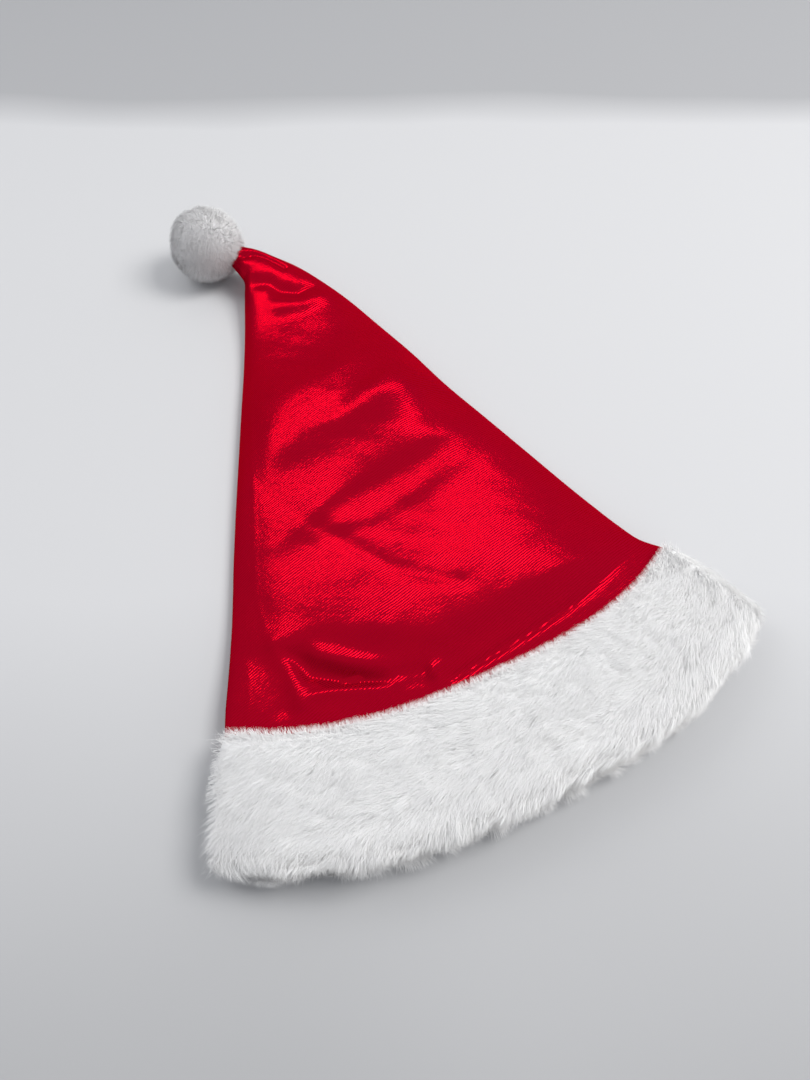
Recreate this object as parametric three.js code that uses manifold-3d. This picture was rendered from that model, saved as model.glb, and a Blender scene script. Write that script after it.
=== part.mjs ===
// A santa hat lying flat: a cone of red cloth with a band of white plush sewn on round the
// head opening, and a plush pompom on its tip, which is gathered and bent to one side.
// Millimetres, +Z up, the hat rests on z = 0. +Y runs from the head opening to the tip.
// The shapes are worked out round the seam point, where the lines of the crown's two lower
// sides meet near the tip, and the whole hat is then centred on the origin.

import * as THREE from "three";
import { mergeVertices } from "three/addons/utils/BufferGeometryUtils.js";
import Module from "manifold-3d";

// Driving dimensions
const CROWN_LENGTH = 370; // seam point to the hem, down the middle
const HEM_GIRTH = 548; // round the hem, where the band is sewn on
const CROWN_WALL = 1.2; // the doubled cloth of the cone
const SEAM_ALLOWANCE = 5; // cloth folded in at the side folds, which fills their edge
const BAND_WIDTH = 63; // hem to the outer edge of the plush
const BACKING_WALL = 2; // knitted backing of the plush
const PILE_TOP = 10; // height of the pile above its backing
const PILE_UNDER = 7; // the same pile, pressed flat under the hat
const PILE_LEFT = 12; // pile past the left side fold, where it is brushed out
const PILE_RIGHT = 7; // pile past the right side fold
const BACKING_INSET = 3; // the backing's side folds lie this far inside the crown's
const PILE_MOUTH = 7; // pile past the backing, round the head opening
const MOUTH_HEIGHT = 12.4; // clear height inside the hem and the band as they lie
const POMPOM_DIAMETER = 53;
const POMPOM_SINK = 1; // how far the pompom is flattened where it rests
const TIP_SINK = 13; // how deep the gathered tip goes into the pile of the pompom
const SEAM_GAP = 0.3; // crown to band, and crown to pompom

// The lying hat is a sector: half of the hem's girth on the crown's length
const HEM_HALF_WIDTH = CROWN_LENGTH * Math.sin(HEM_GIRTH / 4 / CROWN_LENGTH);

// Heights at the hem, where the crown's cloth meets the edge of the backing
const BACKING_LIFT = PILE_UNDER;
const BACKING_PUFF = BACKING_WALL + MOUTH_HEIGHT + BACKING_WALL;
const HEM_LIFT = BACKING_LIFT + (BACKING_WALL - CROWN_WALL) / 2;
const HEM_PUFF = CROWN_WALL + MOUTH_HEIGHT + BACKING_WALL;
const POMPOM_HEIGHT = POMPOM_DIAMETER / 2 - POMPOM_SINK;

// Sections of the crown from the gathered tip to the hem.
// leftX, rightX: places of the side folds, shares of the hem's half width. leftY, rightY: the
// same, shares of the crown's length. bow: how far the middle runs past the line between them,
// share of the crown's length. lift: height of the underside, share of the hem's. tip: added to
// it, share of the pompom's height. puff: height of the section, share of the hem's.
const CROWN_SECTIONS = [
  { at: 0.0, leftX: -0.128, leftY: 0.005, rightX: -0.08, rightY: 0.033, bow: -0.002, lift: 0, tip: 0.71, puff: 0.44 },
  { at: 0.025, leftX: -0.112, leftY: -0.022, rightX: -0.012, rightY: 0.016, bow: 0, lift: 0, tip: 0.66, puff: 0.55 },
  { at: 0.05, leftX: -0.095, leftY: -0.048, rightX: 0.06, rightY: 0, bow: 0.003, lift: 0, tip: 0.57, puff: 0.66 },
  { at: 0.08, leftX: -0.088, leftY: -0.066, rightX: 0.135, rightY: -0.028, bow: 0.006, lift: 0, tip: 0.46, puff: 0.76 },
  { at: 0.12, leftX: -0.113, leftY: -0.09, rightX: 0.225, rightY: -0.064, bow: 0.01, lift: 0, tip: 0.34, puff: 0.84 },
  { at: 0.17, leftX: -0.15, leftY: -0.125, rightX: 0.306, rightY: -0.111, bow: 0.014, lift: 0, tip: 0.21, puff: 0.9 },
  { at: 0.24, leftX: -0.21, leftY: -0.184, rightX: 0.388, rightY: -0.173, bow: 0.02, lift: 0, tip: 0.07, puff: 0.98 },
  { at: 0.33, leftX: -0.295, leftY: -0.265, rightX: 0.463, rightY: -0.262, bow: 0.028, lift: 0, tip: 0, puff: 1.04 },
  { at: 0.43, leftX: -0.388, leftY: -0.351, rightX: 0.527, rightY: -0.351, bow: 0.037, lift: 0, tip: 0, puff: 1.09 },
  { at: 0.54, leftX: -0.493, leftY: -0.449, rightX: 0.584, rightY: -0.449, bow: 0.047, lift: 0, tip: 0, puff: 1.12 },
  { at: 0.64, leftX: -0.597, leftY: -0.546, rightX: 0.657, rightY: -0.546, bow: 0.057, lift: 0, tip: 0, puff: 1.14 },
  { at: 0.74, leftX: -0.698, leftY: -0.643, rightX: 0.73, rightY: -0.643, bow: 0.066, lift: 0, tip: 0, puff: 1.15 },
  { at: 0.82, leftX: -0.788, leftY: -0.735, rightX: 0.794, rightY: -0.735, bow: 0.074, lift: 0.12, tip: 0, puff: 1.15 },
  { at: 0.885, leftX: -0.855, leftY: -0.8, rightX: 0.836, rightY: -0.8, bow: 0.081, lift: 0.42, tip: 0, puff: 1.12 },
  { at: 0.935, leftX: -0.908, leftY: -0.849, rightX: 0.868, rightY: -0.849, bow: 0.086, lift: 0.75, tip: 0, puff: 1.06 },
  { at: 0.965, leftX: -0.94, leftY: -0.878, rightX: 0.9, rightY: -0.882, bow: 0.088, lift: 0.92, tip: 0, puff: 1.02 },
  { at: 1.0, leftX: -0.972, leftY: -0.911, rightX: 0.967, rightY: -0.911, bow: 0.089, lift: 1, tip: 0, puff: 1 },
];
const BOW_POWER = 2.8; // how full the curve of the hem is
const HOLLOW_FROM = 0.13; // nearer the tip than this, the gathered cloth fills the crown

// Across a section: how high the side folds lie, and how the two layers leave them
const FOLD_HEIGHT = 0.27; // share of the section's height
const UPPER_SQUARENESS = 3; // a higher power keeps the upper layer level for longer
const UPPER_ROUNDNESS = 0.62;
const LEVEL_SHARE = 0.6; // middle share of the underside that lies level

// Folds of the crown's upper layer, each a ridge along a line of a few straight stretches.
// line: its points, x as a share of the hem's half width and y of the crown's length. hemSide,
// tipSide: how far the ridge spreads to either side, shares of the crown's length. rise: share
// of the section's height at the hem, down when negative.
const FOLDS = [
  { name: "tip fold", line: [[-0.037, -0.022], [0.067, -0.035], [0.134, -0.073]], hemSide: 0.012, tipSide: 0.012, rise: -0.2 },
  { name: "tip dent", line: [[-0.045, -0.092], [0.05, -0.13], [0.22, -0.14]], hemSide: 0.016, tipSide: 0.015, rise: -0.2 },
  { name: "tip swell", line: [[0.015, -0.17], [0.27, -0.164]], hemSide: 0.025, tipSide: 0.028, rise: 0.12 },
  { name: "first swell", line: [[-0.37, -0.449], [0, -0.465], [0.37, -0.449], [0.54, -0.432]], hemSide: 0.034, tipSide: 0.073, rise: 0.18 },
  { name: "second swell", line: [[-0.46, -0.557], [-0.19, -0.573], [0.16, -0.56]], hemSide: 0.034, tipSide: 0.07, rise: 0.18 },
  { name: "lower swell", line: [[-0.69, -0.768], [-0.44, -0.819], [-0.07, -0.903], [0.24, -0.886], [0.73, -0.87]], hemSide: 0.036, tipSide: 0.124, rise: 0.26 },
  { name: "pocket crest", line: [[-0.75, -0.804], [-0.57, -0.857], [-0.3, -0.943]], hemSide: 0.014, tipSide: 0.045, rise: 0.24 },
  { name: "pocket floor", line: [[-0.61, -0.849], [-0.6, -0.884], [-0.49, -0.911], [-0.37, -0.932]], hemSide: 0.022, tipSide: 0.018, rise: -0.42 },
  { name: "pocket end", line: [[-0.69, -0.819], [-0.67, -0.922]], hemSide: 0.014, tipSide: 0.014, rise: 0.2 },
  { name: "pocket brim", line: [[-0.63, -0.916], [-0.4, -0.943], [-0.25, -0.957]], hemSide: 0.014, tipSide: 0.012, rise: 0.12 },
  { name: "corner valley", line: [[-0.77, -0.835], [-0.755, -0.914]], hemSide: 0.02, tipSide: 0.02, rise: -0.18 },
  { name: "hem crease", line: [[0.79, -0.905], [0.52, -0.941], [0.04, -0.968], [-0.36, -0.973]], hemSide: 0.013, tipSide: 0.013, rise: -0.13 },
];

// Sections of the band's dense pile, from the hem to the head opening.
// through: share of the band's width. pile: height above the backing, share of the pile's.
const BAND_SECTIONS = [
  { through: 0, pile: 0.35 },
  { through: 0.06, pile: 0.5 },
  { through: 0.25, pile: 0.62 },
  { through: 0.5, pile: 0.62 },
  { through: 0.75, pile: 0.62 },
  { through: 0.93, pile: 0.5 },
  { through: 1, pile: 0.15 },
];

// Rows of locks round the band. through: share of the band's width. long, wide: size of a
// lock. lean: how far the locks turn from running round the band to running out of it, degrees.
const LOCK_ROWS = [
  { through: 0.2, long: 44, wide: 26, lean: 12 },
  { through: 0.53, long: 46, wide: 27, lean: 20 },
  { through: 0.86, long: 40, wide: 24, lean: 34 },
];
const LOCK_SPACING = 0.74; // from lock to lock in a row, share of their length
const LOCK_ROOT = 0.15; // lowest and highest part of a lock, shares of the pile
const LOCK_CREST = 1.15;
const LOCK_START = 0.03; // no lock starts nearer the hem, share of the band's width
const BACKING_EASE = 0.015; // the backing's inner edge, eased off the hem by this share of it
const LOCK_TAPER = 0.35; // how much narrower the free end of a lock is
const FOLD_LOCK_LEAN = 80; // lean of the locks on the two side folds, degrees

// The pompom's head and locks, shares of its radius
const POMPOM_LOCKS = 36;
const POMPOM_HEAD = 0.86; // radius of the dense head
const POMPOM_LOCK = { out: 0.66, long: 0.5, wide: 0.4, high: 0.33 };
const POMPOM_TILT = 0.3; // how much the locks point away from the middle, radians

// Mesh fineness
const AROUND = 44; // points round a section of the crown or band
const CROWN_STEPS = 26;
const FINEST = 0.02; // points of a joined or cut solid that are closer than this become one
const LOCK_SIDES = 6;
const LOCK_RINGS = 3;

// A smooth curve through the rows of a table, read at any place between them
function readTable(rows, at) {
  let i = 0;
  while (i < rows.length - 2 && rows[i + 1].at < at) i += 1;
  const [a, b] = [rows[i], rows[i + 1]];
  const before = rows[Math.max(i - 1, 0)];
  const after = rows[Math.min(i + 2, rows.length - 1)];
  const span = b.at - a.at;
  const u = THREE.MathUtils.clamp((at - a.at) / span, 0, 1);
  const read = {};
  for (const key of Object.keys(a)) {
    const leaving = ((b[key] - before[key]) / (b.at - before.at)) * span;
    const arriving = ((after[key] - a[key]) / (after.at - a.at)) * span;
    read[key] =
      (2 * u ** 3 - 3 * u ** 2 + 1) * a[key] +
      (u ** 3 - 2 * u ** 2 + u) * leaving +
      (3 * u ** 2 - 2 * u ** 3) * b[key] +
      (u ** 3 - u ** 2) * arriving;
  }
  return read;
}

// A point of the plan from its shares of the hem's half width and the crown's length
function planShare(x, y) {
  return new THREE.Vector2(x * HEM_HALF_WIDTH, y * CROWN_LENGTH);
}

// A crown section with its side folds as points of the plan, and its heights
function crownSection(at) {
  const row = readTable(CROWN_SECTIONS, at);
  const left = planShare(row.leftX, row.leftY);
  const chord = planShare(row.rightX, row.rightY).sub(left);
  return {
    left,
    chord,
    hemward: new THREE.Vector2(chord.y, -chord.x).normalize(),
    bow: row.bow * CROWN_LENGTH,
    lift: row.lift * HEM_LIFT + row.tip * POMPOM_HEIGHT,
    puff: row.puff * HEM_PUFF,
  };
}

// The point of the plan at a share across a section, -1 at the left fold and 1 at the right
function planPoint(section, across) {
  const bow = section.bow * (1 - Math.abs(across) ** BOW_POWER);
  const point = section.left.clone().addScaledVector(section.chord, (across + 1) / 2);
  return point.addScaledVector(section.hemward, bow);
}

// Heights of the two layers at a share across a section
function upperHeight(section, across) {
  const swell = (1 - Math.abs(across) ** UPPER_SQUARENESS) ** UPPER_ROUNDNESS;
  return section.lift + section.puff * (FOLD_HEIGHT + (1 - FOLD_HEIGHT) * swell);
}
function lowerHeight(section, across) {
  const curl = Math.max(0, Math.abs(across) - LEVEL_SHARE) / (1 - LEVEL_SHARE);
  return section.lift + section.puff * FOLD_HEIGHT * (1 - Math.sqrt(1 - curl ** 2));
}

// From the nearest place of a fold's line to a point of the plan
function offLine(line, point) {
  const places = line.map(([x, y]) => planShare(x, y));
  const offs = places.slice(1).map((end, i) => {
    const stretch = end.clone().sub(places[i]);
    const share = point.clone().sub(places[i]).dot(stretch) / stretch.lengthSq();
    const nearest = places[i].clone().addScaledVector(stretch, THREE.MathUtils.clamp(share, 0, 1));
    return point.clone().sub(nearest);
  });
  return offs.reduce((least, off) => (off.lengthSq() < least.lengthSq() ? off : least));
}

// How much the folds raise the upper layer at a share across a section
function foldRise(section, across) {
  const point = planPoint(section, across);
  const fadeAtSides = (1 - Math.abs(across) ** 4) ** 2;
  let rise = 0;
  for (const fold of FOLDS) {
    const off = offLine(fold.line, point);
    const spread = (off.y < 0 ? fold.hemSide : fold.tipSide) * CROWN_LENGTH;
    rise += fold.rise * HEM_PUFF * Math.exp(-off.lengthSq() / spread ** 2);
  }
  return rise * fadeAtSides;
}

// Shares across a layer, closer together near the side folds
function acrossShares() {
  const count = AROUND / 2;
  return Array.from({ length: count + 1 }, (_, i) => {
    const even = (2 * i) / count - 1;
    return 0.45 * even + 0.55 * Math.sin((even * Math.PI) / 2);
  });
}

// One closed ring of points: right to left over the top, then left to right underneath
function ringOf(upperPoint, lowerPoint) {
  const shares = acrossShares();
  const over = shares.slice().reverse().map(upperPoint);
  const under = shares.slice(1, -1).map(lowerPoint);
  return [...over, ...under];
}

// A closed surface over rings of points, capped at both ends or joined end to end
function skin(rings, joined) {
  const around = rings[0].length;
  const position = rings.flat().flatMap((point) => point.toArray());
  const index = [];
  const bands = joined ? rings.length : rings.length - 1;
  for (let i = 0; i < bands; i += 1) {
    const [near, far] = [i * around, ((i + 1) % rings.length) * around];
    for (let j = 0; j < around; j += 1) {
      const k = (j + 1) % around;
      index.push(near + j, near + k, far + k, near + j, far + k, far + j);
    }
  }
  for (const last of joined ? [] : [false, true]) {
    const ring = last ? rings.length - 1 : 0;
    const sum = rings[ring].reduce((total, point) => total.add(point), new THREE.Vector3());
    const middle = position.length / 3;
    position.push(...sum.divideScalar(around).toArray());
    for (let j = 0; j < around; j += 1) {
      const [here, next] = [ring * around + j, ring * around + ((j + 1) % around)];
      index.push(...(last ? [here, next, middle] : [next, here, middle]));
    }
  }
  const geometry = new THREE.BufferGeometry();
  geometry.setAttribute("position", new THREE.Float32BufferAttribute(position, 3));
  geometry.setIndex(index);
  return geometry;
}

// Between three.js geometries and solids that can be joined and cut
const wasm = await Module();
wasm.setup();
function toSolid(geometry) {
  const bare = geometry.clone();
  bare.deleteAttribute("normal");
  bare.deleteAttribute("uv");
  const merged = mergeVertices(bare, 1e-4);
  const vertProperties = merged.getAttribute("position").array;
  const triVerts = new Uint32Array(merged.index.array);
  return new wasm.Manifold(new wasm.Mesh({ numProp: 3, vertProperties, triVerts }));
}
function toGeometry(solid) {
  const mesh = solid.getMesh();
  const position = mesh.vertProperties.map((v) => Math.round(v / FINEST) * FINEST);
  const geometry = new THREE.BufferGeometry();
  geometry.setAttribute("position", new THREE.Float32BufferAttribute(position, 3));
  geometry.setIndex(new THREE.BufferAttribute(mesh.triVerts, 1));
  const merged = mergeVertices(geometry, FINEST / 4);
  const index = [];
  for (let i = 0; i < merged.index.count; i += 3) {
    const [a, b, c] = merged.index.array.slice(i, i + 3);
    if (a !== b && b !== c && c !== a) index.push(a, b, c);
  }
  merged.setIndex(index);
  return merged;
}

// Cuts a solid level where it would reach below the surface that the hat rests on
function restOnFloor(solid) {
  const side = 3 * (CROWN_LENGTH + BAND_WIDTH);
  const floor = new THREE.BoxGeometry(side, side, POMPOM_DIAMETER);
  return solid.subtract(toSolid(floor.translate(0, 0, -POMPOM_DIAMETER / 2)));
}

// Fills the small pockets that fused locks shut in between them
function fillPockets(solid) {
  return solid.decompose().reduce((most, shell) => (shell.volume() > most.volume() ? shell : most));
}

// One lock of pile: a tapered egg whose points are placed by the piece that it grows on. Its
// top is an edge where it is ridged, and otherwise a face.
function lockSolid(place, ridged = false) {
  const lock = new THREE.SphereGeometry(1, LOCK_SIDES, LOCK_RINGS);
  lock.rotateY(ridged ? Math.PI / LOCK_SIDES : 0).rotateZ(-Math.PI / 2);
  const position = lock.getAttribute("position");
  for (let i = 0; i < position.count; i += 1) {
    const unit = new THREE.Vector3().fromBufferAttribute(position, i);
    unit.y *= 1 - LOCK_TAPER * unit.x;
    position.setXYZ(i, ...place(unit).toArray());
  }
  return toSolid(lock);
}

// A repeatable number from -1 to 1, for the small differences between locks
function scatter(seed) {
  const wild = Math.sin(seed * 127.1 + 3.1) * 43758.5453;
  return 2 * (wild - Math.floor(wild)) - 1;
}

// The crown: outer and inner skins of one cloth wall, closed at the tip and open at the hem
function crownOuterRing(at, margin = 0) {
  const section = crownSection(at);
  const wider = 1 + (2 * margin) / section.chord.length();
  const place = (across, height) => {
    const point = planPoint(section, across * wider);
    return new THREE.Vector3(point.x, point.y, Math.max(0, height));
  };
  return ringOf(
    (across) => place(across, upperHeight(section, across) + foldRise(section, across) + margin),
    (across) => place(across, lowerHeight(section, across) - margin),
  );
}

function crownInnerRing(at) {
  const section = crownSection(at);
  const inset = 1 - (2 * SEAM_ALLOWANCE) / section.chord.length();
  const foldHeight = section.lift + section.puff * FOLD_HEIGHT;
  const place = (share, height) => {
    const point = planPoint(section, share * inset);
    return new THREE.Vector3(point.x, point.y, Math.abs(share) === 1 ? foldHeight : height);
  };
  return ringOf(
    (share) => {
      const outer = upperHeight(section, share * inset) + foldRise(section, share * inset);
      return place(share, outer - CROWN_WALL);
    },
    (share) => place(share, lowerHeight(section, share * inset) + CROWN_WALL),
  );
}

// Places of the rings, closer together at the gathered tip and near the hem
function crownPlaces(from, to) {
  return Array.from({ length: CROWN_STEPS + 1 }, (_, i) => {
    const even = i / CROWN_STEPS;
    return 0.45 * even + 0.55 * (0.5 - 0.5 * Math.cos(Math.PI * even));
  }).filter((at) => at >= from && at <= to);
}

function crownGeometry() {
  const outer = crownPlaces(0, 1).map((at) => crownOuterRing(at));
  const inner = [HOLLOW_FROM, ...crownPlaces(HOLLOW_FROM + 0.02, 1)].map(crownInnerRing);
  return skin([...outer, ...inner.reverse()], false);
}

// The band: a ring of backing that carries on from the hem, straight out from the seam point
function backingRing(outwards) {
  const hem = crownSection(1);
  const backing = { ...hem, lift: BACKING_LIFT, puff: BACKING_PUFF };
  const inset = 1 - (2 * BACKING_INSET) / hem.chord.length();
  const place = (across, height) => {
    const start = planPoint(hem, across * inset);
    const point = start.clone().addScaledVector(start.normalize(), outwards);
    return new THREE.Vector3(point.x, point.y, height);
  };
  const points = ringOf(
    (across) => place(across, upperHeight(backing, across)),
    (across) => place(across, lowerHeight(backing, across)),
  );
  return new THREE.CatmullRomCurve3(points, true);
}
const HEM_RING = backingRing(SEAM_GAP);
const MOUTH_RING = backingRing(BAND_WIDTH - PILE_MOUTH);

// A point on or off the backing. turn: share of the way round, from the right side fold over
// the top. through: share of the way from the hem to the mouth. pile: height above the
// backing, share of the pile's. sunk: depth below the backing's face.
function bandPoint(turn, through, pile, sunk = 0) {
  const start = HEM_RING.getPoint(turn);
  const run = MOUTH_RING.getPoint(turn).sub(start);
  const out = HEM_RING.getTangent(turn).cross(run).normalize();
  const level = out.z ** 2;
  const flatPile = out.z > 0 ? PILE_TOP : PILE_UNDER;
  const sidePile = out.x < 0 ? PILE_LEFT : PILE_RIGHT;
  const pileHere = level * flatPile + (1 - level) * sidePile;
  return start.addScaledVector(run, through).addScaledVector(out, pile * pileHere - sunk);
}

function bandRing(through, pile, sunk) {
  return Array.from({ length: AROUND }, (_, j) => bandPoint(j / AROUND, through, pile, sunk));
}

function bandLock(row, turnLength, seed) {
  const run = BAND_WIDTH - SEAM_GAP - PILE_MOUTH;
  const girth = HEM_RING.getLength();
  const lean = THREE.MathUtils.degToRad(row.lean * (1 + 0.4 * scatter(seed + 0.3)));
  const size = 1 + 0.12 * scatter(seed + 0.6);
  const middle = (LOCK_CREST + LOCK_ROOT) / 2;
  const nearest = LOCK_START * (1.5 + 0.5 * scatter(seed + 0.9));
  return lockSolid((unit) => {
    const along = (unit.x * row.long * size) / 2;
    const aside = (unit.y * row.wide * size) / 2;
    const round = (turnLength + along * Math.cos(lean) - aside * Math.sin(lean)) / girth;
    const out = (along * Math.sin(lean) + aside * Math.cos(lean)) / run;
    const turn = HEM_RING.getUtoTmapping(THREE.MathUtils.euclideanModulo(round, 1));
    const height = middle + (unit.z * (LOCK_CREST - LOCK_ROOT)) / 2;
    return bandPoint(turn, Math.max(nearest, row.through + out), height);
  }, row.lean === FOLD_LOCK_LEAN);
}

function bandGeometry() {
  const outer = BAND_SECTIONS.map((row) => bandRing(row.through, row.pile, 0));
  const inner = [1, BACKING_EASE].map((through) => bandRing(through, 0, BACKING_WALL));
  const girth = HEM_RING.getLength();
  let band = toSolid(skin([...outer, ...inner], true));
  LOCK_ROWS.forEach((row, r) => {
    const count = Math.round(girth / 2 / (row.long * LOCK_SPACING));
    for (const side of [0, 1]) {
      const fold = (side * girth) / 2;
      const seed = 100 * r + 50 * side;
      band = band.add(bandLock({ ...row, lean: FOLD_LOCK_LEAN }, fold, seed));
      for (let i = 1; i <= count; i += 1) {
        const place = i - 0.35 - 0.3 * (r % 2) + 0.12 * scatter(seed + i);
        band = band.add(bandLock(row, fold + (place * girth) / 2 / count, seed + i));
      }
    }
  });
  return toGeometry(fillPockets(restOnFloor(band)));
}

// The pompom: a dense round head with locks all over, and a pocket that takes the tip
function pompomCentre() {
  const end = crownSection(0);
  const seat = end.left.clone().addScaledVector(end.chord, 0.5);
  seat.addScaledVector(end.hemward, TIP_SINK - POMPOM_DIAMETER / 2);
  return new THREE.Vector3(seat.x, seat.y, POMPOM_HEIGHT);
}

function tipPocket() {
  const rings = crownPlaces(0, HOLLOW_FROM).map((at) => crownOuterRing(at, SEAM_GAP));
  const pastTheEnd = crownSection(0).hemward.multiplyScalar(-SEAM_GAP);
  for (const point of rings[0]) point.add(new THREE.Vector3(pastTheEnd.x, pastTheEnd.y, 0));
  return toSolid(skin(rings, false));
}

function pompomGeometry() {
  const radius = POMPOM_DIAMETER / 2;
  const centre = pompomCentre();
  const head = new THREE.IcosahedronGeometry(radius * POMPOM_HEAD, 3);
  let pompom = toSolid(head.translate(...centre.toArray()));
  const goldenTurn = Math.PI * (3 - Math.sqrt(5));
  for (let i = 0; i < POMPOM_LOCKS; i += 1) {
    const up = 1 - (2 * i + 1) / POMPOM_LOCKS;
    const out = new THREE.Vector3().setFromSphericalCoords(1, Math.acos(up), i * goldenTurn);
    const face = new THREE.Quaternion().setFromUnitVectors(new THREE.Vector3(0, 0, 1), out);
    const size = radius * (1 + 0.04 * scatter(i + 0.5));
    const { out: seat, long, wide, high } = POMPOM_LOCK;
    const lock = lockSolid((unit) =>
      new THREE.Vector3(long * unit.x, wide * unit.y, high * unit.z)
        .applyEuler(new THREE.Euler(0, -POMPOM_TILT, Math.PI * scatter(i)))
        .add(new THREE.Vector3(0, 0, seat))
        .multiplyScalar(size)
        .applyQuaternion(face)
        .add(centre),
    );
    pompom = pompom.add(lock);
  }
  return toGeometry(fillPockets(restOnFloor(pompom).subtract(tipPocket())));
}

// The three pieces, each with its own finish
const group = new THREE.Group();
const pieces = [
  { name: "crown", geometry: crownGeometry(), color: 0xb00a2c, roughness: 0.38, metalness: 0.6 },
  { name: "fur_band", geometry: bandGeometry(), color: 0xeceded, roughness: 0.95, metalness: 0 },
  { name: "pompom", geometry: pompomGeometry(), color: 0xe4e3e5, roughness: 0.95, metalness: 0 },
];
for (const { name, geometry, ...finish } of pieces) {
  geometry.computeVertexNormals();
  const mesh = new THREE.Mesh(geometry, new THREE.MeshStandardMaterial(finish));
  mesh.name = name;
  group.add(mesh);
}

// The origin is under the middle of the whole hat
const middle = new THREE.Box3().setFromObject(group).getCenter(new THREE.Vector3());
group.position.set(-middle.x, -middle.y, 0);

export default group;
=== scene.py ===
# A santa hat lying flat: shiny red cloth crown, white plush band and pompom, on a pale surface.
import math

import bpy
import numpy as np
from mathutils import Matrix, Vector


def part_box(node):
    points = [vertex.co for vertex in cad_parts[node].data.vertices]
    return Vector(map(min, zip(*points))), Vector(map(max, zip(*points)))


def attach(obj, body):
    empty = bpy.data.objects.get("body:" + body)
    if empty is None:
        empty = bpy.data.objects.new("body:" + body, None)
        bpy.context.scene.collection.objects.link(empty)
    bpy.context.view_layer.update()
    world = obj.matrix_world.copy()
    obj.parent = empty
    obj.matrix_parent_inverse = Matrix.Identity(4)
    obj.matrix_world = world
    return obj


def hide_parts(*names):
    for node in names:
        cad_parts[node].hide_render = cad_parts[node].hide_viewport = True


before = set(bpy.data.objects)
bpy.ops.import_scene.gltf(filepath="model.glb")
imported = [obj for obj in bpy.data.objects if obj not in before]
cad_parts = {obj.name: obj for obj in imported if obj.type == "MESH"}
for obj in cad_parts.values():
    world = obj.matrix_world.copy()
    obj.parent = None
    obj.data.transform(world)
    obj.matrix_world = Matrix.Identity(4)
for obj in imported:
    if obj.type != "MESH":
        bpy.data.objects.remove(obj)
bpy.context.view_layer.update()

MM = 0.001

# Driving dimensions in millimetres, the same as the solids have
CROWN_LENGTH = 370
CROWN_WALL = 1.2
SEAM_ALLOWANCE = 5
BAND_WIDTH = 63
BACKING_WALL = 2
PILE_TOP = 10
PILE_UNDER = 7
PILE_LEFT = 12
PILE_RIGHT = 7
BACKING_INSET = 3
PILE_MOUTH = 7
MOUTH_HEIGHT = 12.4
POMPOM_DIAMETER = 53
POMPOM_SINK = 1
TIP_SINK = 13
SEAM_GAP = 0.3
BACKING_LIFT = PILE_UNDER
BACKING_PUFF = BACKING_WALL + MOUTH_HEIGHT + BACKING_WALL
HEM_LIFT = BACKING_LIFT + (BACKING_WALL - CROWN_WALL) / 2
HEM_PUFF = CROWN_WALL + MOUTH_HEIGHT + BACKING_WALL
POMPOM_HEIGHT = POMPOM_DIAMETER / 2 - POMPOM_SINK

# The least height of plush above the surface that the hat lies on
LEAST_HEIGHT = 0.15

# Sections of the crown from the gathered tip to the hem: places of the side folds, how far the
# middle bows out, and the heights, all shares of the hem's or the crown's sizes
CROWN_COLUMNS = ("at", "left_x", "left_y", "right_x", "right_y", "bow", "lift", "tip", "puff")
CROWN_SECTIONS = (
    (0.0, -0.128, 0.005, -0.08, 0.033, -0.002, 0, 0.71, 0.44),
    (0.025, -0.112, -0.022, -0.012, 0.016, 0, 0, 0.66, 0.55),
    (0.05, -0.095, -0.048, 0.06, 0, 0.003, 0, 0.57, 0.66),
    (0.08, -0.088, -0.066, 0.135, -0.028, 0.006, 0, 0.46, 0.76),
    (0.12, -0.113, -0.09, 0.225, -0.064, 0.01, 0, 0.34, 0.84),
    (0.17, -0.15, -0.125, 0.306, -0.111, 0.014, 0, 0.21, 0.9),
    (0.24, -0.21, -0.184, 0.388, -0.173, 0.02, 0, 0.07, 0.98),
    (0.33, -0.295, -0.265, 0.463, -0.262, 0.028, 0, 0, 1.04),
    (0.43, -0.388, -0.351, 0.527, -0.351, 0.037, 0, 0, 1.09),
    (0.54, -0.493, -0.449, 0.584, -0.449, 0.047, 0, 0, 1.12),
    (0.64, -0.597, -0.546, 0.657, -0.546, 0.057, 0, 0, 1.14),
    (0.74, -0.698, -0.643, 0.73, -0.643, 0.066, 0, 0, 1.15),
    (0.82, -0.788, -0.735, 0.794, -0.735, 0.074, 0.12, 0, 1.15),
    (0.885, -0.855, -0.8, 0.836, -0.8, 0.081, 0.42, 0, 1.12),
    (0.935, -0.908, -0.849, 0.868, -0.849, 0.086, 0.75, 0, 1.06),
    (0.965, -0.94, -0.878, 0.9, -0.882, 0.088, 0.92, 0, 1.02),
    (1.0, -0.972, -0.911, 0.967, -0.911, 0.089, 1, 0, 1),
)

# The crown's cross-section: how square its bow and its upper layer are, where the hollow begins
# below the tip, the height of the side folds, the share of the lower layer that lies level, and
# from where a point counts as on a side fold
BOW_POWER = 2.8
HOLLOW_FROM = 0.13
FOLD_HEIGHT = 0.27
UPPER_SQUARENESS = 3
UPPER_ROUNDNESS = 0.62
LEVEL_SHARE = 0.6
FOLD_EDGE = 0.9999

# The hem's half width and the seam point, found from the crown's own box
crown_low, crown_high = (np.array(corner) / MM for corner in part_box("crown"))
HEM = dict(zip(CROWN_COLUMNS, CROWN_SECTIONS[-1]))
HEM_HALF_WIDTH = (crown_high[0] - crown_low[0]) / (HEM["right_x"] - HEM["left_x"])
SEAM_X = crown_low[0] - HEM["left_x"] * HEM_HALF_WIDTH
SEAM_Y = crown_low[1] + CROWN_LENGTH
SEAM_POINT = np.array([SEAM_X, SEAM_Y, 0])

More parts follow.
